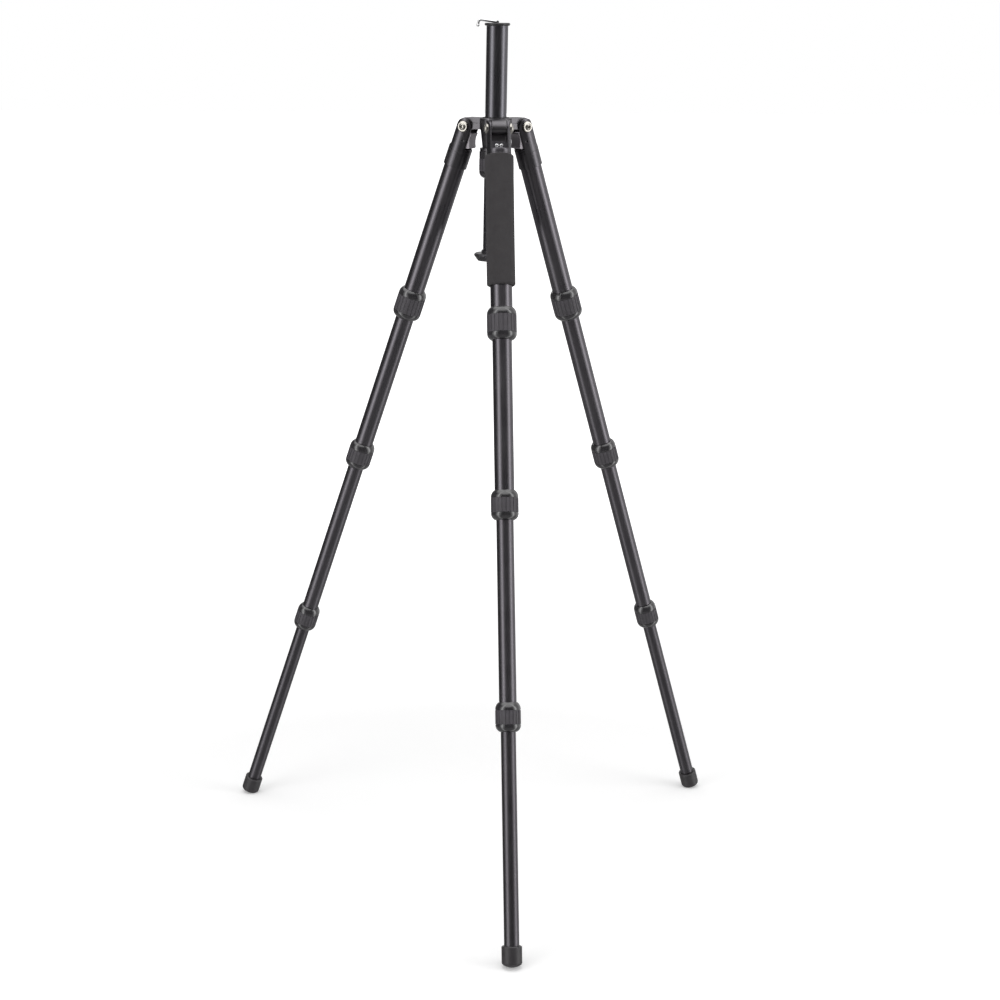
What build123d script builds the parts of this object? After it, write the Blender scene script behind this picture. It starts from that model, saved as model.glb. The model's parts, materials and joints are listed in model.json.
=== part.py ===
"""Compact reverse-folding tripod, stood up with its centre column inverted.

The hook end of the column is on top and the head plate hangs between the legs. Each leg has
four tubes, three twist locks and a rubber foot, and swings in a clevis on the spider. One leg
wears a foam grip. Millimetres, +Z up. The origin is on the floor at the middle of the footprint's
box, and the column stands behind it.
"""

import os
from math import asin, cos, radians, sin, sqrt

from build123d import *

# Stance
splay = 19.1
hinge_radius = 38.5
front_azimuth = -90.0
leg_spacing = 120.0

# Clearances
running_gap = 0.06
bond_gap = 0.02
face_gap = 0.2
free_gap = 0.3

# Leg tubes, from the thick upper one to the thin lower one
leg_tube_radius = 13.5
tube_radius_step = 1.5
tube_wall = 1.1
upper_tube_length = 217.4
second_tube_length = 254.5
third_tube_length = 287.5
lower_tube_length = 318.0
tube_overlap = 34.0

# Twist locks
collar_wall = 4.8
upper_collar_length = 40.0
middle_collar_length = 36.0
lower_collar_length = 35.0
collar_past_tube = 18.0
collar_shoulder = 8.0
collar_lip = 1.2
rib_count = 22
rib_groove_width = 1.3
rib_groove_depth = 0.5
band_margin = 9.0
parting_width = 0.8
collet_wall = 1.6
collet_taper = 0.8
collet_slits = 4
collet_slit_width = 1.2

# Rubber feet
foot_wall = 3.2
foot_length = 25.0
foot_end_pad = 9.0
foot_dome_radius = 20.0
foot_edge_round = 4.0
foot_rim_chamfer = 1.0
foot_flat_depth = 0.4

# Spider
spider_top = 11.5
knuckle_radius = 10.6
knuckle_lead = 2.0
knuckle_width = 19.2
knuckle_core_radius = 8.0
knuckle_ledge = 0.4
arm_underside = 3.2
arm_bevel = 0.8
arm_groove_at = 4.4
arm_groove_width = 0.9
arm_groove_depth = 0.7
hub_wall = 6.5
hub_round = 1.5
neck_wall = 2.4
neck_flare = 2.7
neck_flange_width = 3.0
neck_flange_height = 3.5
bush_length = 12.0
bush_wall = 1.4
bush_rim_height = 0.8
bush_rim_width = 1.6

# Leg heads
head_wall = 1.7
ear_radius = 10.2
web_clearance = 5.9
web_height = 10.5
web_thickness = 3.0
plug_round = 2.0
plug_thickness = 3.0
head_sleeve = 23.2
head_groove_drop = 2.8
head_groove_width = 0.8
head_groove_depth = 0.4

# Hinge screws
shoulder_radius = 4.0
screw_thread_radius = 3.0
screw_thread_length = 6.5
screw_head_radius = 6.9
screw_seat_depth = 2.0
screw_ring_height = 3.4
screw_dome_height = 1.9
screw_dome_radius = 4.7
screw_ring_bevel = 1.0
hex_across_flats = 4.0
hex_depth = 2.6

# Angle levers
lever_pin_radius = 1.5
lever_pin_drop = 0.7
lever_boss_radius = 3.1
lever_boss_gap = 0.7
lever_top_gap = 2.2
lever_bottom_gap = 1.2
lever_top_depth = 2.7
lever_waist_depth = 2.6
lever_tip_depth = 6.0
lever_tip_height = 3.2
lever_nose = 1.2
leaf_thickness = 0.6
leaf_width = 12.0
leaf_bend = 1.6

# Foam grip
foam_over_head = 2.8
foam_drop = 4.0
foam_length = 164.0
foam_end_round = 2.4

# Column, cap and hook
column_radius = 13.5
column_wall = 1.5
column_top = 124.4
column_bottom = 158.7
lock_wall = 3.8
lock_edge_round = 1.2
lock_top = 29.8
lock_length = 34.0
cap_overhang = 2.4
cap_height = 3.6
cap_plug_length = 12.0
hook_slot_width = 3.6
hook_slot_depth = 1.7
lug_thickness = 1.8
lug_radius = 1.6
hook_pin_radius = 0.8
hook_pin_height = 1.0
hook_eye_radius = 1.7
hook_wire_radius = 1.5
hook_overreach = 10.3
hook_rise = 2.9
hook_drop = 6.85
hook_lean = 1.0
hook_tip_radius = 1.9
hook_bend = 3.2

# Head plate
plate_radius = 24.6
plate_top_bevel = 1.6
plate_edge_height = 1.4
plate_taper = 3.1
plate_thickness = 7.5
plate_plug_length = 14.0
hub_ring_wall = 1.8
hub_ring_height = 3.7
scallop_count = 18
scallop_radius = 2.2
scallop_depth = 0.7
pad_thickness = 1.8
pad_margin = 1.2
pad_hole_radius = 7.0
stud_radius = 3.175
stud_reach = 5.5
stud_root_radius = 4.7625
stud_root_depth = 8.0
stud_bevel = 0.6

# Radii that follow from the ones above
tube_radii = [leg_tube_radius - tube_radius_step * i for i in range(4)]
foot_radius = tube_radii[3] + foot_wall
head_radius = leg_tube_radius + head_wall
foam_radius = head_radius + foam_over_head
column_bore = column_radius + free_gap
column_inside = column_radius - column_wall
neck_radius = column_bore + neck_wall
hub_radius = column_radius + hub_wall
cap_radius = column_radius + cap_overhang
slot_width = knuckle_width + 2 * face_gap

# Distances below the hinge along a leg
web_top = knuckle_radius + web_clearance
slot_depth = web_top + web_height
socket_depth = slot_depth + plug_thickness
head_length = socket_depth + head_sleeve
foam_top = socket_depth + foam_drop
foam_bottom = foam_top + foam_length
lever_top = arm_underside + lever_top_gap
lever_bottom = slot_depth - lever_bottom_gap
lever_pin_below = web_top + lever_pin_drop
tube_tops = [socket_depth]
tube_ends = [socket_depth + upper_tube_length]
for length in (second_tube_length, third_tube_length, lower_tube_length):
    tube_tops.append(tube_ends[-1] - tube_overlap)
    tube_ends.append(tube_tops[-1] + length)
foot_end = tube_ends[-1] + foot_end_pad
foot_top = foot_end - foot_length
dome_centre = foot_end - foot_dome_radius

# Distances inwards from a leg's axis
leaf_inward = web_thickness / 2 + leaf_thickness / 2
lever_pin_inward = web_thickness / 2 + leaf_thickness + lever_boss_gap + lever_boss_radius
lever_back = sqrt((knuckle_radius + free_gap) ** 2 - lever_top**2)

# Heights from the hinge, up the column
lock_middle = -lock_top - lock_length / 2
neck_bottom = -lock_top - lock_length + collar_past_tube
hook_pin_at = column_top + cap_height + hook_pin_height
plate_bottom = -column_bottom - plate_thickness

# Where the rounding of a foot's edge is centred: off the leg's axis, and below the hinge
edge_ring = foot_radius - foot_edge_round
edge_below = dome_centre + sqrt((foot_dome_radius - foot_edge_round) ** 2 - edge_ring**2)


def foot_reach(turn):
    """How far from the column a foot reaches along the floor, in a direction turned from its leg's."""
    lean = cos(radians(turn)) * sin(radians(splay))
    middle = cos(radians(turn)) * (hinge_radius + edge_below * sin(radians(splay)))
    return middle + edge_ring * sqrt(1 - lean**2) + foot_edge_round


leg_azimuths = {
    "front": front_azimuth,
    "left": front_azimuth - leg_spacing,
    "right": front_azimuth + leg_spacing,
}
side_turn = 180 - leg_spacing
hinge_height = dome_centre * cos(radians(splay)) + foot_dome_radius - foot_flat_depth
column_place = Pos(0, (foot_reach(0) - foot_reach(side_turn)) / 2, hinge_height)
UP = (Align.CENTER, Align.CENTER, Align.MIN)


def leg_place(azimuth):
    """Where a leg's hinge is, with the leg running down its own -Z and +X pointing outwards."""
    return column_place * Rot(0, 0, azimuth) * Pos(hinge_radius, 0, 0) * Rot(0, -splay, 0)


def round_bar(radius, top, bottom):
    """A round bar on the Z axis between two heights."""
    return Pos(0, 0, bottom) * Cylinder(radius, top - bottom, align=UP)


def cross_bar(radius, length):
    """A round bar along Y, its middle at the origin."""
    return Rot(90, 0, 0) * Cylinder(radius, length)


def pipe(outer, inner, top, bottom):
    """A round bar with a bore through it."""
    return round_bar(outer, top, bottom) - round_bar(inner, top, bottom)


def section(*points):
    """A line through points (x, z) of the XZ plane."""
    return Polyline(*[(x, 0, z) for x, z in points])


def bow(start, middle, end):
    """An arc through three points (x, z) of the XZ plane."""
    return ThreePointArc(*[(x, 0, z) for x, z in (start, middle, end)])


def quarter_round(start, end, centre):
    """A quarter circle between two points (x, z) about its centre."""
    share = sqrt(0.5)
    middle = [c + share * (s - c) + share * (e - c) for s, e, c in zip(start, end, centre)]
    return bow(start, middle, end)


def filled(*lines):
    """The face inside a closed outline made of lines and arcs."""
    return make_face(Curve() + list(lines))


def turned(*lines):
    """A solid of revolution about Z from its half section."""
    return revolve(filled(*lines), Axis.Z)


def across(face, width):
    """A face of the XZ plane given an even width along Y."""
    return extrude(face, width / 2, dir=(0, 1, 0), both=True)


def twist_collar(upper, lower, radius, length, top_height, top_radius):
    """A twist lock's outer ring, its middle at the origin, round an upper and a lower tube.

    The bore runs on the upper tube, opens into a tapered chamber for the collet and ends in a lip
    round the lower tube. Both ends are drawn in by arcs, the upper one within a height of its own
    and to a radius of its own, and the grip band is grooved lengthwise.
    """
    half = length / 2
    top_shoulder = half - top_height
    shoulder = half - collar_shoulder
    end_radius = lower + collar_lip
    tube_end = collar_past_tube - half
    chamber_end = collar_lip + free_gap - half
    collar = turned(
        TangentArc((radius, 0, top_shoulder), (top_radius, 0, half), tangent=(0, 0, 1)),
        section(
            (top_radius, half),
            (upper + running_gap, half),
            (upper + running_gap, tube_end),
            (upper + collet_wall - collet_taper, tube_end),
            (lower + collet_wall, chamber_end),
            (lower + free_gap, chamber_end),
            (lower + free_gap, -half),
            (end_radius, -half),
        ),
        TangentArc((radius, 0, -shoulder), (end_radius, 0, -half), tangent=(0, 0, -1)),
        section((radius, -shoulder), (radius, top_shoulder)),
    )
    band = half - band_margin
    groove = Box(2 * rib_groove_depth, rib_groove_width, 2 * band)
    collar -= PolarLocations(radius, rib_count) * groove
    for middle in (band, -band):
        top = middle + parting_width / 2
        collar -= pipe(radius + parting_width, radius - rib_groove_depth, top, top - parting_width)
    return collar


def collet(upper, lower, length):
    """The split tapered ring that a twist lock squeezes onto the lower tube, in the lock's own place."""
    top = collar_past_tube - length / 2 - face_gap
    bottom = collar_lip + free_gap + face_gap - length / 2
    bore = lower + running_gap
    ring = turned(
        section(
            (bore, top),
            (upper + collet_wall - collet_taper - running_gap, top),
            (lower + collet_wall - running_gap, bottom),
            (bore, bottom),
            (bore, top),
        )
    )
    reach = upper + 2 * collet_wall
    slit = Box(reach, collet_slit_width, top - bottom, align=(Align.MIN, Align.CENTER, Align.MIN))
    return ring - PolarLocations(0, collet_slits) * (Pos(0, 0, bottom + (top - bottom) / 3) * slit)


def leg_tube(index):
    """One leg tube. The inner three carry a raised guide sleeve that runs in the tube above."""
    radius, top, end = tube_radii[index], -tube_tops[index], -tube_ends[index]
    tube = round_bar(radius, top, end)
    if index:
        guide_radius = tube_radii[index - 1] - tube_wall - running_gap
        tube += round_bar(guide_radius, top, top - tube_overlap + 2 * face_gap)
    return tube - round_bar(radius - tube_wall, top, end)


def leg_lock(index):
    """A leg's twist lock and its collet, put at the end of the tube that carries them."""
    upper, lower = tube_radii[index], tube_radii[index + 1]
    length = (upper_collar_length, middle_collar_length, lower_collar_length)[index]
    place = Pos(0, 0, length / 2 - collar_past_tube - tube_ends[index])
    ring = twist_collar(upper, lower, upper + collar_wall, length, collar_shoulder, upper + collar_lip)
    return place * ring, place * collet(upper, lower, length)


def lever_pin_place():
    """The middle of the lever's pin, between the leg head's ears."""
    return Pos(-lever_pin_inward, 0, -lever_pin_below)


def leg_head():
    """The clevis that hangs on the hinge screws, with the socket for the upper tube below it.

    Two lens-shaped ears rise from a round plug. A cross web stands between them for the leaf
    spring, the ears are faced off for the screw heads, and a parting line runs round the sleeve.
    """
    socket = tube_radii[0] + bond_gap
    groove_top = -socket_depth - head_groove_drop + head_groove_width / 2
    groove_end = groove_top - head_groove_width
    body = turned(
        quarter_round(
            (head_radius - plug_round, -slot_depth),
            (head_radius, -slot_depth - plug_round),
            (head_radius - plug_round, -slot_depth - plug_round),
        ),
        section(
            (head_radius, -slot_depth - plug_round),
            (head_radius, groove_top),
            (head_radius - head_groove_depth, groove_top),
            (head_radius - head_groove_depth, groove_end),
            (head_radius, groove_end),
            (head_radius, -head_length),
            (socket, -head_length),
            (socket, -socket_depth),
            (0, -socket_depth),
            (0, -slot_depth),
            (head_radius - plug_round, -slot_depth),
        ),
    )
    ear_foot = -slot_depth - plug_round
    ears = Pos(0, 0, ear_foot) * Box(2 * ear_radius, 4 * head_radius, -ear_foot, align=UP)
    ears += cross_bar(ear_radius, 4 * head_radius)
    ears &= round_bar(head_radius, ear_radius, ear_foot)
    ears -= Pos(0, 0, -slot_depth) * Box(4 * head_radius, slot_width, 2 * slot_depth, align=UP)
    web = Pos(0, 0, -slot_depth - plug_round)
    web *= Box(web_thickness, slot_width + web_thickness, web_height + plug_round, align=UP)
    head = body + ears + web
    for side in (1, -1):
        seat = cross_bar(screw_head_radius + free_gap, head_radius)
        head -= Pos(0, side * (1.5 * head_radius - screw_seat_depth), 0) * seat
    head -= cross_bar(shoulder_radius + running_gap, 4 * head_radius)
    return head - lever_pin_place() * cross_bar(lever_pin_radius + bond_gap, 4 * head_radius)


def hinge_screws():
    """Two shoulder screws that carry a leg head's ears and thread into the spider's knuckle."""
    root = knuckle_width / 2
    seat = head_radius - screw_seat_depth + face_gap / 2
    ring_top = seat + screw_ring_height
    dome_top = ring_top + screw_dome_height
    screw = turned(
        section(
            (0, dome_top),
            (0, root - screw_thread_length),
            (screw_thread_radius, root - screw_thread_length),
            (screw_thread_radius, root),
            (shoulder_radius, root),
            (shoulder_radius, seat),
            (screw_head_radius, seat),
            (screw_head_radius, ring_top - screw_ring_bevel),
            (screw_head_radius - screw_ring_bevel, ring_top),
            (screw_dome_radius, ring_top),
        ),
        bow(
            (screw_dome_radius, ring_top),
            (0.75 * screw_dome_radius, ring_top + 0.7 * screw_dome_height),
            (0, dome_top),
        ),
    )
    socket = extrude(RegularPolygon(hex_across_flats / 2, 6, major_radius=False), 2 * hex_depth)
    screw -= Pos(0, 0, dome_top - hex_depth) * socket
    return Compound(children=[Rot(side * 90, 0, 0) * screw for side in (1, -1)])


def angle_lever():
    """The rocker that sets the leg's angle: a hollowed finger plate and an arm to the boss on its pin."""
    tip = lever_back + lever_tip_depth
    tip_at = lever_bottom - lever_tip_height
    finger = filled(
        section(
            (-tip, -tip_at),
            (lever_nose / 2 - tip, lever_nose - lever_bottom),
            (-lever_back, -lever_bottom),
            (-lever_back, -lever_top),
            (-lever_back - lever_top_depth, -lever_top),
        ),
        bow(
            (-lever_back - lever_top_depth, -lever_top),
            (-lever_back - lever_waist_depth, -(lever_top + tip_at) / 2),
            (-tip, -tip_at),
        ),
    )
    arm = filled(
        section(
            (-lever_back - lever_nose, lever_boss_radius - lever_pin_below),
            (-lever_pin_inward, lever_boss_radius - lever_pin_below),
            (-lever_pin_inward, -lever_boss_radius - lever_pin_below),
            (-lever_back - lever_nose, -lever_boss_radius - lever_pin_below),
            (-lever_back - lever_nose, lever_boss_radius - lever_pin_below),
        )
    )
    lever = across(finger, knuckle_width) + across(arm, knuckle_width)
    lever += lever_pin_place() * cross_bar(lever_boss_radius, knuckle_width)
    return lever - lever_pin_place() * cross_bar(lever_pin_radius + running_gap, 2 * knuckle_width)


def lever_pin():
    """The dowel that carries the lever, fixed in both ears."""
    edge = lever_pin_inward + lever_pin_radius
    reach = sqrt(head_radius**2 - edge**2) - free_gap
    return lever_pin_place() * cross_bar(lever_pin_radius, 2 * reach)


def leaf_spring():
    """The bent steel strip on the head's web that pushes the lever's lower end away from the leg."""
    start = (-leaf_inward, 0, -web_top - free_gap)
    bend = (-leaf_inward, 0, leaf_thickness + free_gap - slot_depth)
    tip = (leaf_thickness + free_gap - lever_back, 0, lever_nose - lever_bottom)
    path = FilletPolyline(start, bend, tip, radius=leaf_bend)
    strip = Plane(start, x_dir=(1, 0, 0), z_dir=(0, 0, -1)) * Rectangle(leaf_thickness, leaf_width)
    return sweep(strip, path)


def foot():
    """The rubber foot: a sleeve with a round-edged domed end, before the floor flattens it."""
    bore = tube_radii[3] + bond_gap
    spread = asin(edge_ring / (foot_dome_radius - foot_edge_round))
    dome_edge = (foot_dome_radius * sin(spread), -dome_centre - foot_dome_radius * cos(spread))
    half_turn = (spread + radians(90)) / 2
    edge_middle = (
        edge_ring + foot_edge_round * sin(half_turn),
        -edge_below - foot_edge_round * cos(half_turn),
    )
    dome_middle = (
        foot_dome_radius * sin(spread / 2),
        -dome_centre - foot_dome_radius * cos(spread / 2),
    )
    return turned(
        section(
            (0, -foot_end),
            (0, -tube_ends[3]),
            (bore, -tube_ends[3]),
            (bore, -foot_top),
            (foot_radius - foot_rim_chamfer, -foot_top),
            (foot_radius, -foot_top - foot_rim_chamfer),
            (foot_radius, -edge_below),
        ),
        bow((foot_radius, -edge_below), edge_middle, dome_edge),
        bow(dome_edge, dome_middle, (0, -foot_end)),
    )


def foam_grip():
    """The foam sleeve over the head's socket and the upper tube, with rounded ends."""
    over_head = head_radius + bond_gap
    over_tube = tube_radii[0] + bond_gap
    step = -head_length - face_gap
    inner_edge = foam_radius - foam_end_round
    return turned(
        quarter_round(
            (inner_edge, -foam_top),
            (foam_radius, -foam_top - foam_end_round),
            (inner_edge, -foam_top - foam_end_round),
        ),
        section((foam_radius, -foam_top - foam_end_round), (foam_radius, foam_end_round - foam_bottom)),
        quarter_round(
            (foam_radius, foam_end_round - foam_bottom),
            (inner_edge, -foam_bottom),
            (inner_edge, foam_end_round - foam_bottom),
        ),
        section(
            (inner_edge, -foam_bottom),
            (over_tube, -foam_bottom),
            (over_tube, step),
            (over_head, step),
            (over_head, -foam_top),
            (inner_edge, -foam_top),
        ),
    )


def spider_arm():
    """One arm along +X: a bevelled plate that ends in a round knuckle with a ledge on its outer side."""
    core = knuckle_core_radius
    under = sqrt(core**2 - arm_underside**2)
    ledge_outer = (sqrt(knuckle_radius**2 - knuckle_ledge**2), knuckle_ledge)
    ledge_inner = (sqrt(core**2 - knuckle_ledge**2), knuckle_ledge)
    outline = filled(
        section((-under, -arm_underside), (-hinge_radius, -arm_underside)),
        section((-hinge_radius, -arm_underside), (-hinge_radius, spider_top), (-knuckle_lead, spider_top)),
        TangentArc((-knuckle_lead, 0, spider_top), (ledge_outer[0], 0, ledge_outer[1]), tangent=(1, 0, 0)),
        section(ledge_outer, ledge_inner),
        bow(ledge_inner, (0, -core), (-under, -arm_underside)),
    )
    arm = across(outline, knuckle_width)
    arm = chamfer(arm.edges().filter_by(Axis.X).group_by(Axis.Z)[-1], arm_bevel)
    groove = Box(4 * hinge_radius, 2 * arm_groove_depth, arm_groove_width)
    for side in (1, -1):
        arm -= Pos(0, side * knuckle_width / 2, arm_groove_at) * groove
    return Pos(hinge_radius, 0, 0) * (arm - cross_bar(screw_thread_radius + bond_gap, 2 * knuckle_width))


def spider():
    """The casting that joins the legs to the column: a hub on a flanged neck, with three knuckled arms."""
    round_start = hub_radius - hub_round
    flange_bottom = face_gap - lock_top
    casting = turned(
        section((0, neck_bottom), (0, spider_top), (round_start, spider_top)),
        quarter_round(
            (round_start, spider_top),
            (hub_radius, spider_top - hub_round),
            (round_start, spider_top - hub_round),
        ),
        section(
            (hub_radius, spider_top - hub_round),
            (hub_radius, -arm_underside),
            (neck_radius + neck_flare, -arm_underside),
            (neck_radius, flange_bottom + neck_flange_height),
            (neck_radius + neck_flange_width, flange_bottom + neck_flange_height),
            (neck_radius + neck_flange_width, flange_bottom),
            (neck_radius, flange_bottom),
            (neck_radius, neck_bottom),
            (0, neck_bottom),
        ),
    )
    for azimuth in leg_azimuths.values():
        casting += Rot(0, 0, azimuth) * spider_arm()
    casting -= round_bar(column_bore, spider_top, neck_bottom)
    return casting - round_bar(column_radius + bush_wall, spider_top, spider_top - bush_length)


def column_bush():
    """The plastic bush that guides the column in the hub, with a thin rim on top of it."""
    sleeve = column_radius + bush_wall - bond_gap
    rim = spider_top + bush_rim_height
    bush = round_bar(sleeve, rim, spider_top - bush_length)
    bush += round_bar(sleeve + bush_rim_width, rim, spider_top)
    return bush - round_bar(column_radius + running_gap, rim, spider_top - bush_length)


def column_cap():
    """The plug in the column's upper end: a beaded rim with a slot and two lugs for the hook."""
    bottom = column_top
    top = bottom + cap_height
    bead = cap_radius - cap_height / 2
    plug = column_inside - bond_gap
    cap = turned(
        section((bead, top), (0, top), (0, bottom - cap_plug_length), (plug, bottom - cap_plug_length)),
        section((plug, bottom - cap_plug_length), (plug, bottom), (bead, bottom)),
        bow((bead, bottom), (cap_radius, (bottom + top) / 2), (bead, top)),
    )
    lug = across(
        filled(
            section((lug_radius, hook_pin_at), (lug_radius, bottom)),
            section((lug_radius, bottom), (-lug_radius, bottom), (-lug_radius, hook_pin_at)),
            bow((-lug_radius, hook_pin_at), (0, hook_pin_at + lug_radius), (lug_radius, hook_pin_at)),
        ),
        hook_slot_width + 2 * lug_thickness,
    )
    slot_align = (Align.MAX, Align.CENTER, Align.MIN)
    slot = Box(2 * cap_radius, hook_slot_width, 4 * lug_radius, align=slot_align)
    cap = cap + lug - Pos(2 * lug_radius, 0, top - hook_slot_depth) * slot
    pin_hole = cross_bar(hook_pin_radius + bond_gap, 2 * (hook_slot_width + lug_thickness))
    return cap - Pos(0, 0, hook_pin_at) * pin_hole


def hook():
    """The wire hook: an eye on its pin, a rising arm beyond the cap's rim and a turned-down ball tip."""
    reach = cap_radius + hook_overreach - hook_tip_radius
    start = (0, 0, hook_pin_at)
    corner = (hook_lean - reach, 0, hook_pin_at + hook_rise)
    tip = (-reach, 0, hook_pin_at + hook_rise - hook_drop)
    path = FilletPolyline(start, corner, tip, radius=hook_bend)
    wire = sweep(Plane(start, z_dir=path % 0) * Circle(hook_wire_radius), path)
    wire += Pos(*tip) * Sphere(hook_tip_radius)
    wire += Pos(*start) * cross_bar(hook_eye_radius, hook_slot_width - 2 * face_gap)
    return wire - Pos(*start) * cross_bar(hook_pin_radius + running_gap, 2 * hook_slot_width)


def mount_plate():
    """The head plate: a scalloped disc, tapered below, whose plug and ring hold the column's end."""
    top = -column_bottom
    plug = column_inside - bond_gap
    socket = column_radius + bond_gap
    edge_top = top - plate_top_bevel
    edge_bottom = edge_top - plate_edge_height
    plate = turned(
        section(
            (0, plate_bottom),
            (0, top + plate_plug_length),
            (plug, top + plate_plug_length),
            (plug, top),
            (socket, top),
            (socket, top + hub_ring_height),
            (socket + hub_ring_wall, top + hub_ring_height),
            (socket + hub_ring_wall, top),
            (plate_radius - plate_top_bevel, top),
            (plate_radius, edge_top),
            (plate_radius, edge_bottom),
            (plate_radius - plate_taper, plate_bottom),
            (0, plate_bottom),
        )
    )
    scallop = Pos(0, 0, plate_bottom) * Cylinder(scallop_radius, plate_thickness, align=UP)
    plate -= PolarLocations(plate_radius + scallop_radius - scallop_depth, scallop_count) * scallop
    return plate - round_bar(stud_root_radius + bond_gap, plate_bottom + stud_root_depth, plate_bottom)


def mount_stud():
    """The stepped stud for the camera head: its root sits in the plate and its shank stands out below."""
    root_top = plate_bottom + stud_root_depth
    end = plate_bottom - pad_thickness - stud_reach
    return turned(
        section(
            (0, root_top),
            (stud_root_radius, root_top),
            (stud_root_radius, plate_bottom),
            (stud_radius, plate_bottom),
            (stud_radius, end + stud_bevel),
            (stud_radius - stud_bevel, end),
            (0, end),
            (0, root_top),
        )
    )


def middle_pieces():
    """Every piece on the column and the spider, by name, with the hinge level at zero height."""
    lock_place = Pos(0, 0, lock_middle)
    lock_radius = neck_radius + lock_wall
    lock = twist_collar(
        neck_radius, column_radius, lock_radius, lock_length, lock_edge_round, lock_radius - lock_edge_round
    )
    eye_length = hook_slot_width + 2 * lug_thickness - face_gap
    pad_radius = plate_radius - plate_taper - pad_margin
    return {
        "spider": spider(),
        "column_bush": column_bush(),
        "column_collet": lock_place * collet(neck_radius, column_radius, lock_length),
        "column_lock": lock_place * lock,
        "column_tube": pipe(column_radius, column_inside, column_top, -column_bottom),
        "column_cap": column_cap(),
        "hook": hook(),
        "hook_pin": Pos(0, 0, hook_pin_at) * cross_bar(hook_pin_radius, eye_length),
        "mount_plate": mount_plate(),
        "plate_pad": pipe(pad_radius, pad_hole_radius, plate_bottom, plate_bottom - pad_thickness),
        "mount_stud": mount_stud(),
    }


def leg_pieces():
    """Every piece of one leg, by name, in the leg's own place."""
    pieces = {
        "head": leg_head(),
        "hinge_screws": hinge_screws(),
        "lever": angle_lever(),
        "lever_pin": lever_pin(),
        "lever_spring": leaf_spring(),
        "foot": foot(),
    }
    for index in range(4):
        pieces[f"tube_{index + 1}"] = leg_tube(index)
    for index in range(3):
        pieces[f"collar_{index + 1}"], pieces[f"collet_{index + 1}"] = leg_lock(index)
    return pieces


def tripod():
    """All the pieces in their places, each under its own name."""
    pieces = {name: column_place * piece for name, piece in middle_pieces().items()}
    floor_side = 6 * foot_reach(0)
    floor = Box(floor_side, floor_side, 4 * foot_radius, align=(Align.CENTER, Align.CENTER, Align.MAX))
    one_leg = leg_pieces()
    for leg, azimuth in leg_azimuths.items():
        for name, piece in one_leg.items():
            pieces[f"{leg}_{name}"] = leg_place(azimuth) * piece
        pieces[f"{leg}_foot"] -= floor
    pieces["front_grip"] = leg_place(leg_azimuths["front"]) * foam_grip()
    return pieces


os.makedirs("parts", exist_ok=True)
for piece_name, piece in tripod().items():
    export_step(piece, f"parts/{piece_name}.step")
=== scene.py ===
"""Looks for the reverse-folding tripod.

It makes the finishes, the foam grip, the web screws, the leaf springs, the threaded stud, the stage,
the light and the camera. Metres, in the frame of the solids. A leg's own frame has its hinge at the
origin, x outwards, y to the side and z up the leg.
"""

import json

import bpy
import numpy as np
from mathutils import Matrix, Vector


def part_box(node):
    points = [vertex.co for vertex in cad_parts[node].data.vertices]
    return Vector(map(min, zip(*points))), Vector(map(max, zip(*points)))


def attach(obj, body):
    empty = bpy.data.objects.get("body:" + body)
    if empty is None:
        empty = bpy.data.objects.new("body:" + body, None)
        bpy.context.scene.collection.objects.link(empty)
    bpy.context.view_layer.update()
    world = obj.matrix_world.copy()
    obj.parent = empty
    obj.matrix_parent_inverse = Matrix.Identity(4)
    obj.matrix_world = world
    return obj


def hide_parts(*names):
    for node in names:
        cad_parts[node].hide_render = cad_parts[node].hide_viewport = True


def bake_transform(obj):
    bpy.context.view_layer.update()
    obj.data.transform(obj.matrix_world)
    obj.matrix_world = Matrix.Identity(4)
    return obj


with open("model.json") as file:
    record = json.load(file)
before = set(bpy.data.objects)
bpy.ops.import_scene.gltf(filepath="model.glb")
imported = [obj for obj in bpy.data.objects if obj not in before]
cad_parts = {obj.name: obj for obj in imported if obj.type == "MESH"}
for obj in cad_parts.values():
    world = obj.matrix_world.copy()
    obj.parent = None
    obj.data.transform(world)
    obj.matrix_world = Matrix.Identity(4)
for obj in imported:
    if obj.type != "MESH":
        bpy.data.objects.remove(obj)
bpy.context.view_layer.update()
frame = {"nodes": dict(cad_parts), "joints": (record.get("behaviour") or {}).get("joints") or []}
nodes = frame["nodes"]
joints = {joint["name"]: joint for joint in frame["joints"]}
legs = ("front", "left", "right")
mm = 0.001

# Foam grip. Its wave climbs by so many radians a metre
foam_end_round = 2.4 * mm
foam_bulge = 0.35 * mm
foam_bulge_length = 24 * mm
foam_bore_step = 2 * mm
foam_wave = 0.1 * mm
foam_wave_lobes = 3
foam_wave_climb = 40
foam_end_crowding = 0.12
foam_steps_round = 96
foam_steps_along = 120
foam_steps_inside = 24

# Small screws in each leg head's cross web. The recess is given as radii and heights over the web
web_screw_drop = 22.2 * mm
web_screw_spacing = 6.3 * mm
web_screw_radius = 2.95 * mm
web_screw_height = 2.3 * mm
web_screw_crown = 0.36 * web_screw_radius
web_screw_rim_height = 0.3 * web_screw_height
web_screw_sink = 0.4 * mm
web_screw_recess = np.array([[0.92 * web_screw_crown, -0.1 * mm], [0.05 * web_screw_crown, -0.2 * mm]])
web_screw_steps_round = 32
web_screw_steps_up = 9
web_face = 1.5 * mm

# Leaf spring behind each lever: its root, corner and tip in the leg's frame, outwards and up
leaf_line = np.array([[-1.8, -16.8], [-1.8, -26.1], [-8.568, -24.6]]) * mm
leaf_bend = 1.6 * mm
leaf_thickness = 0.6 * mm
leaf_width = 12.0 * mm
leaf_edge_round = 0.2 * mm
leaf_corner_sharpness = 1e3
leaf_steps_bend = 16
leaf_steps_run = 8
leaf_steps_round = 24

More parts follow.
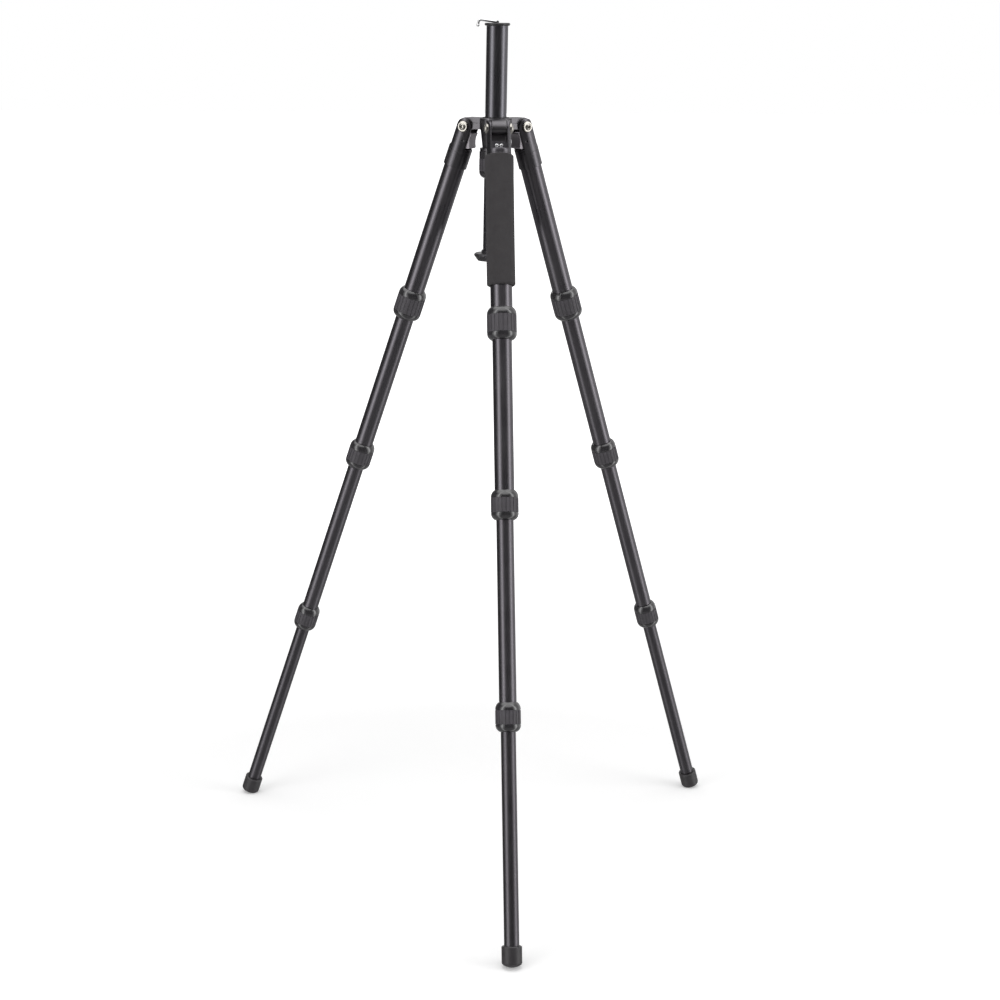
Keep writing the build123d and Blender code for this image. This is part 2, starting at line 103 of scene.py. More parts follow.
# Camera stud's thread
thread_pitch = 1.27 * mm
thread_depth = 0.62 * mm
stud_radius = 3.175 * mm
stud_end_taper = 0.5 * mm
stud_steps_round = 48
stud_steps_along = 150

# Anodising: its dark and light tone and its drawn streaks, and the roughness of the column and of the
# leg tubes from the upper to the lower one. The tubes have a tint against the column's, and a painted
# shade each that darkens the lower tubes and stands in for weaker light lower down
anodised_colours = np.array([[0.122, 0.119, 0.132], [0.140, 0.137, 0.150], [0.160, 0.156, 0.170]])
column_roughness = 0.26
tube_roughness = (0.26, 0.27, 0.30, 0.33)
tube_tint = np.array([1.0, 0.965, 0.96])
tube_painted_shade = (1.0, 0.98, 0.93, 0.78)
drawn_stretch = (1, 1, 0.02)
scuff_stretch = (1, 1, 0.25)

# Bare shoulder above and below the grip band of a twist lock, and rays used to round edges in a finish
collar_shoulder = 9 * mm
edge_samples = 4

# Floor, surround and lamps
floor_side = 40.0
floor_lift_near = 0.24
floor_fade_start = 0.6
floor_fade_end = 2.2
room_dark = 0.11
room_plain = 0.45
ceiling_light = 1.8
floor_glow = 0.2
floor_glow_start = -0.22
floor_glow_full = -0.5
ceiling_start = 0.55
ceiling_full = 0.85
wall_foot = 0.5
wall_foot_start = -0.65
wall_foot_full = -0.15
wall_fade_outer = 1.3
wall_fade_inner = 0.6
left_lamp_turn = np.radians(-52)
right_lamp_turn = np.radians(69)
lamp_distance = 2.1
lamp_height = 0.9
lamp_aim_height = 0.6
lamp_size = (1.25, 2.4)
lamp_power = 17.0
top_lamp_place = (0.0, -0.3, 3.2)
top_lamp_side = 2.6
top_lamp_power = 34.0

# Bright walls that show in reflections: turn from the camera's side, half width, brightness
walls = (
    (np.radians(-61), np.radians(23), 1.0),
    (np.radians(-61), np.radians(9), 3.0),
    (np.radians(70), np.radians(23), 1.05),
    (np.radians(70), np.radians(9), 3.3),
    (np.radians(118), np.radians(32), 0.7),
    (np.radians(180), np.radians(18), 0.8),
)

# Camera, fitted to the photograph, from the column's axis at the level of the leg hinges
camera_distance = 2.586994
camera_height_angle = np.radians(12.374)
camera_turn = np.radians(3.032)
camera_roll = np.radians(-0.437)
camera_aim = np.array([-0.117104, 0.0, -0.414056])
camera_lens = 71.562
camera_sensor = 36.0
camera_shift = (0.100, -0.052)
camera_clip = (0.05, 100)


def hub_middle():
    """The point of the column's axis at the level of the leg hinges."""
    lock = np.array(joints["column_lock_turn"]["pos_m"])
    return np.array([lock[0], lock[1], joints["front_swing"]["pos_m"][2]])


def leg_frame(leg):
    """A leg's hinge point, and its axes outwards, sideways and up the leg as the columns of a matrix."""
    hinge = np.array(joints[f"{leg}_swing"]["pos_m"])
    up = np.array(joints[f"{leg}_slide_2"]["axis"])
    side = -np.array(joints[f"{leg}_swing"]["axis"])
    return hinge, np.stack([np.cross(side, up), side, up], axis=1)


def placed(points, origin, axes):
    """Points of a local frame moved into the tripod's frame: each times the axes, plus the origin."""
    return points @ axes.T + origin


def node_points(name):
    """All corners of a solid's mesh as one array."""
    mesh = nodes[name].data
    flat = np.empty(len(mesh.vertices) * 3, np.float32)
    mesh.vertices.foreach_get("co", flat)
    return flat.reshape(-1, 3).astype(float)


def span_along(name, origin, direction):
    """The lowest and highest distance of a solid from a point, measured along a direction."""
    distance = (node_points(name) - origin) @ direction
    return distance.min(), distance.max()


def new_piece(name, points, faces):
    """A smooth-shaded mesh object at the origin, from an array of points and a list of faces."""
    mesh = bpy.data.meshes.new(name)
    mesh.from_pydata(points.tolist(), [], faces)
    mesh.polygons.foreach_set("use_smooth", np.ones(len(faces), dtype=bool))
    mesh.update()
    piece = bpy.data.objects.new(name, mesh)
    bpy.context.scene.collection.objects.link(piece)
    return piece


def grid_faces(rows, columns, wrap_rows):
    """Four-sided faces on a grid whose columns close on themselves, and whose rows do too if asked."""
    row = np.arange(rows if wrap_rows else rows - 1)[:, None]
    column = np.arange(columns)[None, :]
    here, above = row * columns, (row + 1) % rows * columns
    beside = (column + 1) % columns
    faces = np.stack([here + column, here + beside, above + beside, above + column], axis=-1)
    return faces.reshape(-1, 4)


def closed_ring(name, rings):
    """A closed tube wall: rings of points go round a closed profile, and the last ring meets the first."""
    count, steps, _ = rings.shape
    return new_piece(name, rings.reshape(-1, 3), grid_faces(count, steps, True).tolist())


def closed_bar(name, rings):
    """A closed bar: rings of points are joined side by side, and a fan closes each end on its middle."""
    count, steps, _ = rings.shape
    points = np.concatenate([rings.reshape(-1, 3), rings[[0, -1]].mean(axis=1)])
    start, end = count * steps, count * steps + 1
    column = np.arange(steps)
    beside = (column + 1) % steps
    top = (count - 1) * steps
    low_fan = np.stack([np.full(steps, start), beside, column], axis=-1)
    high_fan = np.stack([np.full(steps, end), top + column, top + beside], axis=-1)
    faces = grid_faces(count, steps, False).tolist() + low_fan.tolist() + high_fan.tolist()
    return new_piece(name, points, faces)


def turned(profile, steps):
    """Rings of a turned shape: each profile point (radius, height) at every angle of a full turn."""
    angle = np.linspace(0, 2 * np.pi, steps, endpoint=False)
    radius, height = profile[:, :1], profile[:, 1:]
    return np.stack([radius * np.cos(angle), radius * np.sin(angle), height + 0 * angle], axis=-1)


def smooth_step(value):
    """Zero below 0, one above 1, and 3 t squared minus 2 t cubed between."""
    t = np.clip(value, 0, 1)
    return t * t * (3 - 2 * t)


def foam_grip():
    """The foam sleeve of the front leg.

    The outer wall's radius is the solid's, less a quarter circle at each end. Below the leg head, over
    which the sleeve is stretched, it is less by the bulge, which fades by a smooth step. A slow wave round
    the sleeve and along it keeps the wall from being a perfect tube. Its rows crowd together at the ends.
    The inner wall follows the tube and, past a short smooth step, the leg head.
    """
    hinge, axes = leg_frame("front")
    low, high = span_along("front_grip", hinge, axes[:, 2])
    head_low, _ = span_along("front_head", hinge, axes[:, 2])
    local = (node_points("front_grip") - hinge) @ axes
    reach = np.hypot(local[:, 0], local[:, 1])
    outer, inner = reach.max(), reach.min()
    along = np.linspace(0, 1, foam_steps_along)
    height = low + (high - low) * (along - foam_end_crowding * np.sin(2 * np.pi * along) / np.pi)
    from_end = np.minimum(height - low, high - height)
    into_round = np.clip(1 - from_end / foam_end_round, 0, 1)
    radius = outer - foam_end_round * (1 - np.sqrt(1 - into_round**2))
    over_head = smooth_step((height - head_low) / foam_bulge_length + 0.5)
    radius += foam_bulge * (over_head - 1) * (into_round < 1)
    outer_wall = turned(np.stack([radius, height], axis=-1), foam_steps_round)
    around = np.arctan2(outer_wall[..., 1], outer_wall[..., 0])
    wave = foam_wave * np.sin(foam_wave_lobes * around + foam_wave_climb * outer_wall[..., 2])
    outer_wall[..., :2] *= (1 + (wave - foam_wave) / outer)[..., None]
    back = low + (high - low) * np.linspace(1, 0, foam_steps_inside)
    head_bore = reach[local[:, 2] > head_low].min()
    bore = inner + (head_bore - inner) * smooth_step((back - head_low) / foam_bore_step)
    inner_wall = turned(np.stack([bore, back], axis=-1), foam_steps_round)
    rings = np.concatenate([outer_wall, inner_wall])
    piece = closed_ring("front_foam_sleeve", placed(rings, hinge, axes))
    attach(piece, "front_leg")
    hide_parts("front_grip")
    return piece


def web_screws(leg):
    """Two button-head screws on the outer face of a leg head's cross web.

    Each is a turned shape: a short rim that is sunk in the web, a quarter of an ellipse up to the crown and
    a deep round recess in it. They lie side by side across the leg, their axes pointing outwards.
    """
    hinge, axes = leg_frame(leg)
    sweep = np.linspace(0, np.pi / 2, web_screw_steps_up)
    dome = np.stack([
        web_screw_crown + (web_screw_radius - web_screw_crown) * np.cos(sweep),
        web_screw_rim_height + (web_screw_height - web_screw_rim_height) * np.sin(sweep),
    ], axis=-1)
    rim = np.array([[web_screw_radius, -web_screw_sink]])
    rings = turned(np.concatenate([rim, dome, web_screw_recess]), web_screw_steps_round)
    outwards = np.stack([axes[:, 1], axes[:, 2], axes[:, 0]], axis=1)
    screws = []
    for place, side in (("near", -0.5), ("far", 0.5)):
        middle = hinge + axes @ np.array([web_face, side * web_screw_spacing, -web_screw_drop])
        screw = closed_bar(f"{leg}_web_screw_{place}", placed(rings, middle, outwards))
        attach(screw, f"{leg}_leg")
        screws.append(screw)
    return screws


def strip_side(circle, size):
    """One side of a strip's outline: a small circle, cut in four and moved apart to the strip's corners."""
    apart = np.clip(leaf_corner_sharpness * circle, -1, 1)
    return apart * (size / 2 - leaf_edge_round) + leaf_edge_round * circle


def leaf_spring(leg):
    """The bent steel strip that pushes a lever's lower end away from the leg.

    Its middle line is a straight run down from the root, an arc that touches both runs of the corner, and
    a straight run to the tip. The strip's outline is carried along it: at each point, its thickness lies
    along the line's normal and its width across the leg.
    """
    root, corner, tip = leaf_line
    down = (corner - root) / np.linalg.norm(corner - root)
    out = (tip - corner) / np.linalg.norm(tip - corner)
    bend_turn = np.arccos(down @ out)
    touch = leaf_bend * np.tan(bend_turn / 2)
    sweep = np.linspace(0, bend_turn, leaf_steps_bend)[:, None]
    inward = (out - (out @ down) * down) / np.sin(bend_turn)
    arc = corner - touch * down + leaf_bend * (np.sin(sweep) * down + (1 - np.cos(sweep)) * inward)
    share = np.linspace(0, 1, leaf_steps_run)[:, None]
    line = np.concatenate([
        root + share[:-1] * (arc[0] - root),
        arc,
        arc[-1] + share[1:] * (tip - arc[-1]),
    ])
    ahead = np.gradient(line, axis=0)
    ahead /= np.linalg.norm(ahead, axis=1, keepdims=True)
    turn = np.linspace(0, 2 * np.pi, leaf_steps_round, endpoint=False)
    thick = strip_side(np.cos(turn), leaf_thickness)
    wide = strip_side(np.sin(turn), leaf_width)
    rings = np.stack([
        line[:, :1] + ahead[:, 1:] * thick,
        np.broadcast_to(wide, (len(line), len(turn))),
        line[:, 1:] - ahead[:, :1] * thick,
    ], axis=-1)
    hinge, axes = leg_frame(leg)
    piece = closed_bar(f"{leg}_leaf_spring", placed(rings, hinge, axes))
    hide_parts(f"{leg}_lever_spring")
    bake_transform(piece)
    return piece


def threaded_stud():
    """The camera stud with its thread.

    The shank's radius is its full radius less the depth of a triangle wave, whose phase is the height
    divided by the pitch minus the share of a turn, so that the ridges climb as a helix. The shank tapers at
    its end, and a plain seat joins it to the plate.
    """
    low, high = (np.array(corner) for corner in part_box("mount_stud"))
    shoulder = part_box("mount_plate")[0][2]
    middle = (low + high) / 2
    root = (high[0] - low[0]) / 2
    angle = np.linspace(0, 2 * np.pi, stud_steps_round, endpoint=False)[None, :]
    height = np.linspace(low[2], shoulder, stud_steps_along)[:, None]
    phase = (height / thread_pitch - angle / (2 * np.pi)) % 1
    depth = thread_depth * np.abs(2 * phase - 1)
    fade = smooth_step((height - low[2]) / thread_pitch)
    radius = stud_radius - depth - stud_end_taper * (1 - fade)
    shank = np.stack([radius * np.cos(angle), radius * np.sin(angle), height + 0 * angle], axis=-1)
    seat = turned(np.array([[root, shoulder], [root, high[2]]]), stud_steps_round)
    rings = np.concatenate([shank, seat]) + np.array([middle[0], middle[1], 0])
    piece = closed_bar("threaded_stud", rings)
    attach(piece, "column")
    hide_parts("mount_stud")
    return piece


class Graph:
    """A node tree with short calls for the nodes that the finishes and the surround share."""

    def __init__(self, tree):
        self.nodes = tree.nodes
        self.links = tree.links

    def join(self, value, socket):
        """Links an output to an input, or sets the input to a plain value."""
        if isinstance(value, bpy.types.NodeSocket):
            self.links.new(value, socket)
        else:
            socket.default_value = value

    def node(self, kind, settings=None, **inputs):
        """A new node with its settings, and its inputs linked or set. The input i0 is the first by number."""
        made = self.nodes.new(kind)
        for key, value in (settings or {}).items():
            setattr(made, key, value)
        for key, value in inputs.items():
            by_number = key[0] == "i" and key[1:].isdigit()
            self.join(value, made.inputs[int(key[1:]) if by_number else key.replace("_", " ")])
        return made

    def calculated(self, operation, first, second=0.0):
        """One step of arithmetic."""
        return self.node("ShaderNodeMath", {"operation": operation}, i0=first, i1=second).outputs["Value"]

    def vector(self, operation, first, second=(0, 0, 0), output="Vector"):
        """One step of arithmetic with vectors."""
        made = self.node("ShaderNodeVectorMath", {"operation": operation}, i0=first, i1=second)
        return made.outputs[output]

    def height(self, place):
        """The third part of a place or a direction."""
        return self.node("ShaderNodeSeparateXYZ", Vector=place).outputs["Z"]

    def ranged(self, value, low, high, start=0.3, end=0.7, form="LINEAR"):
        """A value between a start and an end, mapped to a range from low to high."""
        limits = {"From_Min": start, "From_Max": end, "To_Min": low, "To_Max": high}
        made = self.node("ShaderNodeMapRange", {"interpolation_type": form}, Value=value, **limits)
        return made.outputs["Result"]


class Finish(Graph):
    """A material with short calls for what the finishes share. Constants are set on the shader's sockets."""

    def __init__(self, name, **constants):
        self.material = bpy.data.materials.new(name)
        self.material.use_nodes = True
        super().__init__(self.material.node_tree)
        self.shader = self.nodes["Principled BSDF"]
        self.feed(**constants)
        self.place = self.node("ShaderNodeTexCoord").outputs["Object"]

    def feed(self, **sources):
        """Links outputs to the shader's sockets, or sets the sockets."""
        for socket, source in sources.items():
            self.join(source, self.shader.inputs[socket.replace("_", " ")])

    def local(self, origin, axes):
        """The place of a point in a local frame with that origin and those axes."""
        pose = {"Location": origin.tolist(), "Rotation": Matrix(axes.tolist()).to_euler()}
        made = self.node("ShaderNodeMapping", {"vector_type": "TEXTURE"}, Vector=self.place, **pose)
        return made.outputs["Vector"]

    def noise(self, place, size, detail=3.0, roughness=0.55):
        """Cloudy noise whose lumps are about a size across."""
        form = {"Scale": 1 / size, "Detail": detail, "Roughness": roughness}
        return self.node("ShaderNodeTexNoise", Vector=place, **form).outputs["Fac"]

    def mixed(self, share, first, second):
        """A colour between two, by a share."""
        made = self.node("ShaderNodeMix", {"data_type": "RGBA"}, Factor=share)
        sockets = [socket for socket in made.inputs if socket.type == "RGBA"]
        for socket, colour in zip(sockets, (first, second)):
            self.join(colour if isinstance(colour, bpy.types.NodeSocket) else (*colour, 1), socket)
        return next(socket for socket in made.outputs if socket.type == "RGBA")

    def toned(self, cloud, dark, light):
        """A colour that drifts between two tones with a cloudy noise."""
        return self.mixed(self.ranged(cloud, 0, 1), dark, light)

    def bumped(self, height, depth, strength, edge=None):
        """A height given as a bump of that depth, on edges rounded by a radius where one is given."""
        made = self.node("ShaderNodeBump", Height=height, Distance=depth, Strength=strength)
        if edge:
            rounding = self.node("ShaderNodeBevel", {"samples": edge_samples}, Radius=edge)
            self.join(rounding.outputs["Normal"], made.inputs["Normal"])
        self.feed(Normal=made.outputs["Normal"])


def anodised_tube(name, origin, axes, roughness, tint):
    """Satin black anodised aluminium: fine grain drawn along the tube, and faint clouds from handling."""
    finish = Finish(name, Metallic=1.0)
    place = finish.local(origin, axes)
    drawn = finish.noise(finish.vector("MULTIPLY", place, drawn_stretch), 0.7 * mm, detail=4.0)
    handled = finish.noise(place, 45 * mm)
    grain = finish.noise(place, 0.25 * mm, detail=2.0)
    # For a leg tube the tint also carries its painted shade, a darkening that stands in for weaker light
    # lower down
    dark, light, streak = anodised_colours * tint
    wear = finish.calculated("ADD", drawn, handled)
    finish.feed(
        Base_Color=finish.mixed(finish.ranged(drawn, 0, 0.35), finish.toned(handled, dark, light), streak),
        Roughness=finish.ranged(wear, roughness, roughness + 0.08, start=0.7, end=1.3),
    )
    finish.bumped(grain, 0.02 * mm, strength=0.25)
    return finish.material


def grip_collar(name, origin, axes, half_band):
    """A twist lock: a matte rubber grip band between smooth moulded shoulders."""
    finish = Finish(name, Specular_IOR_Level=0.5, Coat_Roughness=0.06, Coat_IOR=1.5)
    place = finish.local(origin, axes)
    from_middle = finish.calculated("ABSOLUTE", finish.height(place))
    on_band = finish.calculated("LESS_THAN", from_middle, half_band)
    grain = finish.noise(place, 0.5 * mm, detail=4.0, roughness=0.65)
    cloud = finish.noise(place, 9 * mm)
    rubber = finish.toned(cloud, (0.053, 0.049, 0.055), (0.068, 0.063, 0.071))
    plastic = finish.toned(cloud, (0.018, 0.017, 0.019), (0.026, 0.024, 0.027))
    rough_rubber = finish.ranged(grain, 0.52, 0.64)
    rough_plastic = finish.ranged(grain, 0.16, 0.24)
    spread = finish.calculated("SUBTRACT", rough_rubber, rough_plastic)
    finish.feed(
        Base_Color=finish.mixed(on_band, plastic, rubber),
        Roughness=finish.calculated("ADD", rough_plastic, finish.calculated("MULTIPLY", spread, on_band)),
        Coat_Weight=finish.calculated("SUBTRACT", 1.0, on_band),
    )
    finish.bumped(grain, 0.05 * mm, strength=0.3, edge=0.25 * mm)
    return finish.material


def closed_foam():
    """Closed-cell foam: a soft charcoal skin with fine open pores."""
    finish = Finish("charcoal_foam", Specular_IOR_Level=0.25)
    pores = finish.node("ShaderNodeTexVoronoi", Vector=finish.place, Scale=1 / (0.9 * mm)).outputs["Distance"]
    cells = finish.noise(finish.place, 0.45 * mm, detail=4.0, roughness=0.7)
    cloud = finish.noise(finish.place, 14 * mm)
    skin = finish.toned(cloud, (0.045, 0.042, 0.044), (0.053, 0.050, 0.052))
    # The pore mask shapes the pits in the bump and also paints them darker: painted shade in the pits
    pits_and_painted_shade = finish.ranged(pores, 0.0, 1.0, start=0.05, end=0.35)
    finish.feed(
        Base_Color=finish.mixed(pits_and_painted_shade, (0.034, 0.032, 0.033), skin),
        Roughness=finish.ranged(cells, 0.82, 0.95),
    )
    finish.bumped(finish.calculated("ADD", pits_and_painted_shade, cells), 0.12 * mm, strength=0.5)
    return finish.material


def coated_metal(name, dark, light, metal, roughness, grain_size):
    """Satin coated metal: a fine orange-peel skin, slow tone changes and softened edges."""
    finish = Finish(name, Metallic=metal)
    peel = finish.noise(finish.place, grain_size)
    cloud = finish.noise(finish.place, 16 * mm)
    finish.feed(
        Base_Color=finish.toned(cloud, dark, light),
        Roughness=finish.ranged(cloud, roughness - 0.04, roughness + 0.05),
    )
    finish.bumped(peel, 0.03 * mm, strength=0.3, edge=0.4 * mm)
    return finish.material


def bright_metal(name, tint, roughness, scuff):
    """Plated or polished metal: faint scuffs change the gloss, and the tone shifts a little."""
    finish = Finish(name, Metallic=1.0)
    scuffed = finish.vector("MULTIPLY", finish.place, scuff_stretch)
    scuffs = finish.noise(scuffed, 0.6 * mm, detail=5.0, roughness=0.7)
    cloud = finish.noise(finish.place, 4 * mm)
    darker = tuple(0.86 * part for part in tint)
    finish.feed(
        Base_Color=finish.toned(cloud, darker, tint),
        Roughness=finish.ranged(scuffs, roughness, roughness + scuff),
    )
    finish.bumped(scuffs, 0.01 * mm, strength=0.15, edge=0.2 * mm)
    return finish.material


def moulded(name, dark, light, roughness, grain_size, grain_depth, edge):
    """Moulded plastic or rubber: a fine eroded texture with slow tone changes."""
    finish = Finish(name, Specular_IOR_Level=0.45)
    grain = finish.noise(finish.place, grain_size, detail=4.0, roughness=0.65)
    cloud = finish.noise(finish.place, 12 * mm)
    finish.feed(
        Base_Color=finish.toned(cloud, dark, light),
        Roughness=finish.ranged(grain, roughness - 0.06, roughness + 0.06),
    )
    finish.bumped(grain, grain_depth, strength=0.35, edge=edge)
    return finish.material


def dress(piece, material):
    """Gives a piece one material on all its faces."""
    piece.data.materials.clear()
    piece.data.materials.append(material)


def dress_tripod(foam, screws, springs, stud):
    """Puts every solid and every new piece in its finish."""
    upright = np.eye(3)
    column_axis = hub_middle()
    soft_foam = closed_foam()
    chrome = bright_metal("polished_chrome", tint=(0.86, 0.86, 0.87), roughness=0.08, scuff=0.06)
    steel = bright_metal("bright_steel", tint=(0.56, 0.56, 0.57), roughness=0.24, scuff=0.10)
    nickel = bright_metal("satin_nickel", tint=(0.50, 0.48, 0.44), roughness=0.20, scuff=0.08)
    head_coat = coated_metal(
        "head_coat", dark=(0.108, 0.103, 0.112), light=(0.132, 0.126, 0.136),
        metal=1.0, roughness=0.31, grain_size=0.5 * mm,
    )
    black_coat = coated_metal(
        "black_coat", dark=(0.048, 0.046, 0.050), light=(0.062, 0.059, 0.064),
        metal=0.6, roughness=0.36, grain_size=0.5 * mm,
    )
    casting = coated_metal(
        "spider_coat", dark=(0.124, 0.119, 0.126), light=(0.146, 0.141, 0.148),
        metal=1.0, roughness=0.35, grain_size=0.6 * mm,
    )
    lever_coat = coated_metal(
        "lever_coat", dark=(0.256, 0.238, 0.257), light=(0.296, 0.276, 0.297),
        metal=0.55, roughness=0.42, grain_size=0.5 * mm,
    )
    cap = moulded(
        "black_cap", dark=(0.018, 0.018, 0.019), light=(0.027, 0.026, 0.028),
        roughness=0.28, grain_size=0.4 * mm, grain_depth=0.03 * mm, edge=0.3 * mm,
    )
    nylon = moulded(
        "dark_nylon", dark=(0.020, 0.020, 0.021), light=(0.028, 0.028, 0.029),
        roughness=0.45, grain_size=0.4 * mm, grain_depth=0.03 * mm, edge=0.2 * mm,
    )
    rubber = moulded(
        "foot_rubber", dark=(0.030, 0.028, 0.030), light=(0.040, 0.037, 0.040),
        roughness=0.45, grain_size=0.7 * mm, grain_depth=0.10 * mm, edge=0.4 * mm,
    )
    dress(foam, soft_foam)
    for piece in (stud, *springs):
        dress(piece, steel)
    for screw in screws:
        dress(screw, chrome)
    lock_low, lock_high = (corner[2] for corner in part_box("column_lock"))
    lock_middle = np.array([column_axis[0], column_axis[1], (lock_low + lock_high) / 2])
    lock_half_band = (lock_high - lock_low) / 2 - collar_shoulder
    finishes = {
        "spider": casting,
        "column_bush": nylon,
        "column_collet": nylon,
        "column_lock": grip_collar("column_lock_grip", lock_middle, upright, lock_half_band),
        "column_tube": anodised_tube("column_anodised", column_axis, upright, column_roughness, np.ones(3)),
        "column_cap": cap,
        "hook": chrome,
        "hook_pin": steel,
        "mount_plate": black_coat,
        "plate_pad": rubber,
        "mount_stud": steel,
        "front_grip": soft_foam,
    }
    for leg in legs:
        hinge, axes = leg_frame(leg)
        finishes |= {
            f"{leg}_head": head_coat,
            f"{leg}_hinge_screws": nickel,
            f"{leg}_lever": lever_coat,
            f"{leg}_lever_pin": black_coat,
            f"{leg}_lever_spring": steel,
            f"{leg}_foot": rubber,
        }
        # Each tube's colour is scaled by its painted shade: the lower tubes are painted darker to stand in
        # for weaker light lower down
        for number, (roughness, tone) in enumerate(zip(tube_roughness, tube_painted_shade), 1):
            finishes[f"{leg}_tube_{number}"] = anodised_tube(
                f"{leg}_anodised_{number}", hinge, axes, roughness, tone * tube_tint
            )
        for number in (1, 2, 3):
            low, high = span_along(f"{leg}_collar_{number}", hinge, axes[:, 2])
            middle = hinge + axes[:, 2] * (low + high) / 2
            finishes[f"{leg}_collar_{number}"] = grip_collar(
                f"{leg}_grip_{number}", middle, axes, (high - low) / 2 - collar_shoulder
            )
            finishes[f"{leg}_collet_{number}"] = nylon
    for name, piece in nodes.items():
        dress(piece, finishes[name])


def set_stage():
    """A wide pale floor that keeps the shadows near the tripod and fades to white further off.

    Only what the camera sees directly is lifted. The lift grows evenly with the distance from the middle.
    """
    corner = np.array([[-1, -1, 0], [1, -1, 0], [1, 1, 0], [-1, 1, 0]]) * floor_side / 2
    floor = new_piece("floor", corner, [[0, 1, 2, 3]])
    finish = Finish("white_paper", Roughness=0.9, Specular_IOR_Level=0.0, Emission_Color=(1, 1, 1, 1))
    distance = finish.vector("LENGTH", finish.place, output="Value")
    lift = finish.ranged(distance, floor_lift_near, 1.0, floor_fade_start, floor_fade_end)
    seen = finish.node("ShaderNodeLightPath").outputs["Is Camera Ray"]
    fibres = finish.noise(finish.place, 3 * mm, detail=2.0)
    finish.feed(
        Base_Color=finish.mixed(fibres, (0.90, 0.90, 0.90), (0.92, 0.92, 0.92)),
        Emission_Strength=finish.calculated("MULTIPLY", seen, lift),
    )
    dress(floor, finish.material)
    floor.visible_glossy = False


def set_surround():
    """White where the camera looks, and a plain grey light.

    Reflections see a dark room with tall bright walls, a bright ceiling and a dim floor. A wall's share is
    a smooth step of the cosine between a level direction and the wall's middle, and the ceiling's and the
    floor's are smooth steps of the direction's height. The walls grow dimmer towards their foot.
    """
    world = bpy.data.worlds.new("white_studio")
    bpy.context.scene.world = world
    world.use_nodes = True
    world.cycles.sampling_method = "NONE"
    graph = Graph(world.node_tree)
    ray = graph.node("ShaderNodeLightPath").outputs
    direction = graph.node("ShaderNodeTexCoord").outputs["Generated"]

    def eased(value, start, full, brightness):
        """No light at the start and all of a brightness at the full place, with a smooth step between."""
        return graph.ranged(value, 0.0, brightness, start, full, "SMOOTHSTEP")

    def chosen(share, value, other):
        """One value where the share is 1, and another where it is 0."""
        made = graph.node("ShaderNodeMix", {"data_type": "FLOAT"}, Factor=share, A=other, B=value)
        return made.outputs["Result"]

    height = graph.height(direction)
    level = graph.vector("NORMALIZE", graph.vector("MULTIPLY", direction, (1, 1, 0)))
    foot_light = eased(height, wall_foot_start, wall_foot_full, 1 - wall_foot)
    foot = graph.calculated("ADD", foot_light, wall_foot)
    seen = graph.calculated("ADD", eased(height, ceiling_start, ceiling_full, ceiling_light), room_dark)
    seen = graph.calculated("ADD", seen, eased(height, floor_glow_start, floor_glow_full, floor_glow))
    for turn, half, brightness in walls:
        facing = graph.vector("DOT_PRODUCT", level, (np.sin(turn), -np.cos(turn), 0), output="Value")
        wall = eased(facing, np.cos(wall_fade_outer * half), np.cos(wall_fade_inner * half), brightness)
        seen = graph.calculated("MAXIMUM", seen, graph.calculated("MULTIPLY", wall, foot))
    lit = chosen(ray["Is Glossy Ray"], seen, room_plain)
    lit = chosen(ray["Is Transmission Ray"], 1.0, lit)
    lit = chosen(ray["Is Camera Ray"], 1.0, lit)
    sky = graph.nodes["Background"]
    graph.join((1, 1, 1, 1), sky.inputs["Color"])
    graph.join(lit, sky.inputs["Strength"])


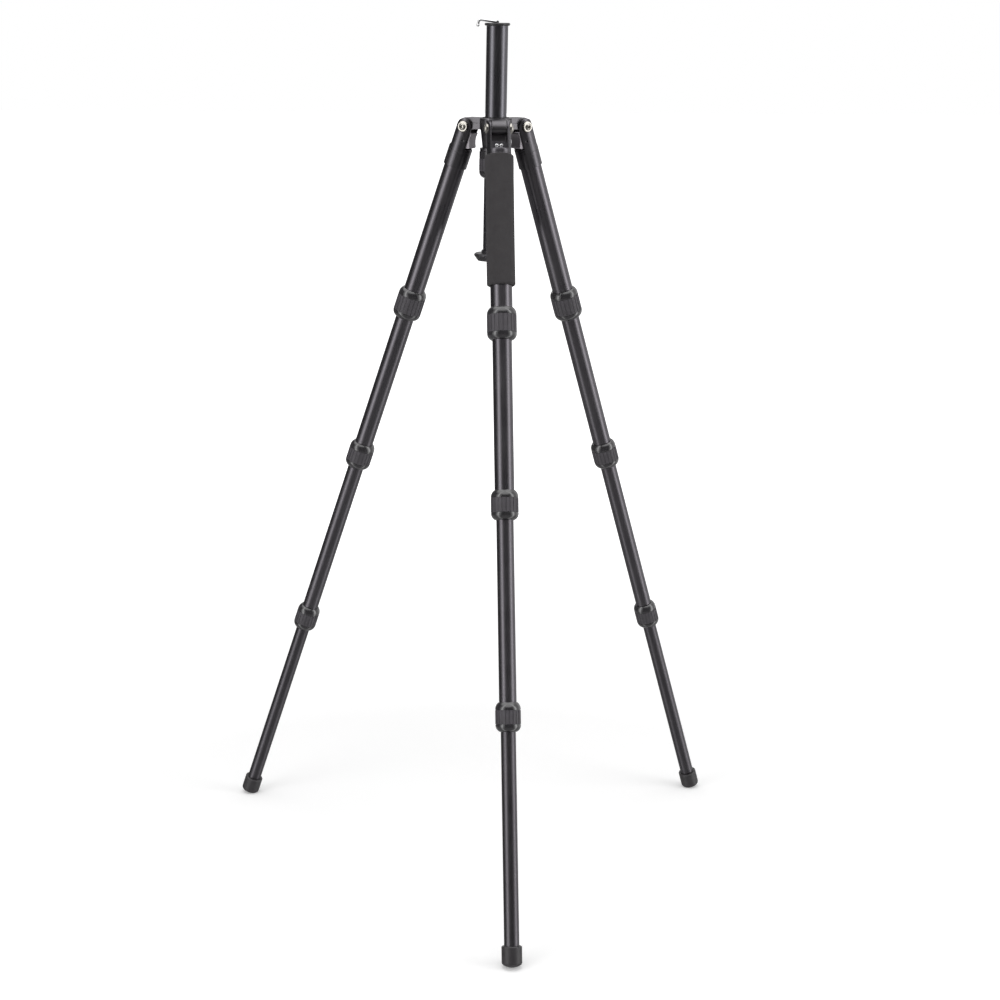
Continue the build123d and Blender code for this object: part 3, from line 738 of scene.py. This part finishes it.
def soft_box(name, place, aim, width, height, power):
    """A rectangular lamp that faces a point, its longer side upright."""
    lamp = bpy.data.lights.new(name, "AREA")
    lamp.shape = "RECTANGLE"
    lamp.size, lamp.size_y = width, height
    lamp.energy = power
    box = bpy.data.objects.new(name, lamp)
    facing = np.array(place, float) - np.array(aim, float)
    facing /= np.linalg.norm(facing)
    across = np.cross((0, 0, 1), facing)
    across /= np.linalg.norm(across)
    turn = np.stack([across, np.cross(facing, across), facing], axis=1)
    box.matrix_world = Matrix.Translation(place) @ Matrix(turn.tolist()).to_4x4()
    box.visible_camera = False
    box.visible_glossy = False
    bpy.context.scene.collection.objects.link(box)


def set_light():
    """Two tall soft boxes, left and right of the camera, and a broad one overhead."""
    axis = hub_middle()
    aim = (axis[0], axis[1], lamp_aim_height)
    for name, turn in (("left_soft_box", left_lamp_turn), ("right_soft_box", right_lamp_turn)):
        across, forward = lamp_distance * np.sin(turn), lamp_distance * np.cos(turn)
        place = (axis[0] + across, axis[1] - forward, lamp_height)
        soft_box(name, place, aim, *lamp_size, lamp_power)
    soft_box("top_soft_box", top_lamp_place, (0, 0, 0), top_lamp_side, top_lamp_side, top_lamp_power)


def set_camera():
    """The photograph's camera.

    It stands back from an aim point beside the column, is turned a little round the column and rolled, and
    its view is shifted to the photograph's frame.
    """
    lift, turn, roll = camera_height_angle, camera_turn, camera_roll
    back = np.array([0, -np.cos(lift), np.sin(lift)])
    right = np.array([1.0, 0, 0])
    down = np.cross(-back, right)
    rolled_right = np.cos(roll) * right + np.sin(roll) * down
    rolled_down = np.cos(roll) * down - np.sin(roll) * right
    around = np.array([[np.cos(turn), np.sin(turn), 0], [-np.sin(turn), np.cos(turn), 0], [0, 0, 1]])
    place = around @ (camera_aim + camera_distance * back) + hub_middle()
    axes = around @ np.stack([rolled_right, -rolled_down, back], axis=1)
    lens = bpy.data.cameras.new("photo_camera")
    lens.sensor_width, lens.lens = camera_sensor, camera_lens
    lens.shift_x, lens.shift_y = camera_shift
    lens.clip_start, lens.clip_end = camera_clip
    camera = bpy.data.objects.new("photo_camera", lens)
    camera.matrix_world = Matrix.Translation(place.tolist()) @ Matrix(axes.tolist()).to_4x4()
    bpy.context.scene.collection.objects.link(camera)
    bpy.context.scene.camera = camera


bpy.context.scene.view_settings.view_transform = "Standard"
all_web_screws = [screw for leg in legs for screw in web_screws(leg)]
all_leaf_springs = [leaf_spring(leg) for leg in legs]
dress_tripod(foam_grip(), all_web_screws, all_leaf_springs, threaded_stud())
set_stage()
set_surround()
set_light()
set_camera()
